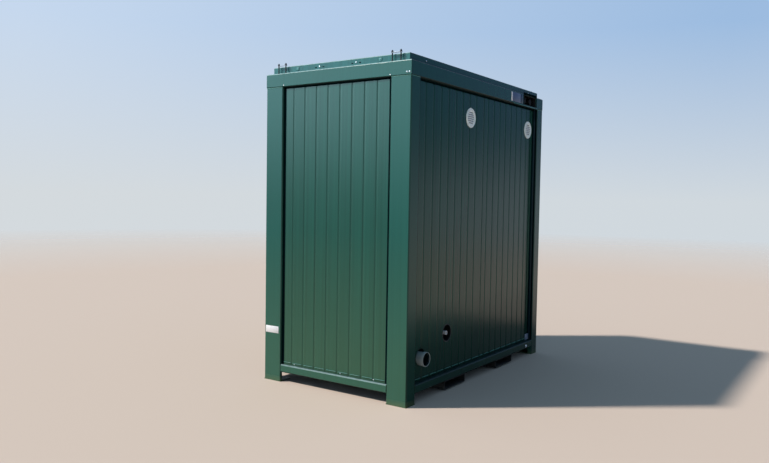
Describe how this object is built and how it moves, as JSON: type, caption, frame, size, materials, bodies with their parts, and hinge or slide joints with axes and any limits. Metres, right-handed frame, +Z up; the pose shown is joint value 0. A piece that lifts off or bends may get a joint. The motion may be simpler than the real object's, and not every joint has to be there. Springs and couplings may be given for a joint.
{
  "type": "portable site cabin",
  "caption": "Small steel-framed portable site cabin with vertically grooved cladding, round vents, water and drain connections, fork pockets and two doors on the far side.",
  "frame": {"origin": "on the ground, at the middle of the cabin's footprint", "axes": "+Z up; X along the cabin's length with the short end of the picture facing -X; the service side with the vents faces -Y and the door side +Y"},
  "size_m": [2.4, 1.425, 2.585],
  "materials": {
    "frame_paint": "moss green coil and frame paint, semi-gloss",
    "cladding_paint": "moss green coated profiled sheet, semi-gloss",
    "door_paint": "moss green door paint, semi-gloss",
    "hardware_steel": "satin steel",
    "vent_plastic": "pale grey-white weathered plastic",
    "recess_plastic": "black plastic",
    "fitting_plastic": "white plastic",
    "drain_plastic": "grey drain pipe plastic",
    "inlet_plastic": "dark grey plastic",
    "bolt_zinc": "bright zinc plate",
    "stud_steel": "dull dark steel",
    "underframe_steel": "black underframe coating",
    "roof_galvanised": "galvanised sheet",
    "lining_board": "off-white coated board",
    "floor_board": "grey vinyl on chipboard"
  },
  "bodies": {
    "root": {"base_rail_door": "frame_paint", "base_rail_left": "frame_paint", "base_rail_right": "frame_paint", "base_rail_service": "frame_paint", "ceiling_panel": "lining_board", "corner_post_door_left": "frame_paint", "corner_post_door_right": "frame_paint", "corner_post_service_left": "frame_paint", "corner_post_service_right": "frame_paint", "door_frame_left": "door_paint", "door_frame_right": "door_paint", "door_handles": "hardware_steel", "door_hinges": "hardware_steel", "door_leaf_left": "door_paint", "door_leaf_right": "door_paint", "door_wall_left": "cladding_paint", "door_wall_middle": "cladding_paint", "door_wall_over": "cladding_paint", "door_wall_right": "cladding_paint", "drain_stub": "drain_plastic", "earth_bolt": "bolt_zinc", "extract_vents": "vent_plastic", "floor_deck": "floor_board", "floor_joists": "underframe_steel", "floor_pan": "underframe_steel", "fork_pocket_left": "underframe_steel", "fork_pocket_right": "underframe_steel", "left_wall": "cladding_paint", "lifting_studs": "stud_steel", "power_inlets": "inlet_plastic", "power_recess": "frame_paint", "right_wall": "cladding_paint", "roof_beam_door": "frame_paint", "roof_beam_left": "frame_paint", "roof_beam_right": "frame_paint", "roof_beam_service": "frame_paint", "roof_joists": "roof_galvanised", "roof_rim_door": "frame_paint", "roof_rim_left": "frame_paint", "roof_rim_right": "frame_paint", "roof_rim_service": "frame_paint", "roof_sheet": "roof_galvanised", "service_wall": "cladding_paint", "water_fitting": "fitting_plastic", "water_recess": "recess_plastic"}
  },
  "joints": []
}
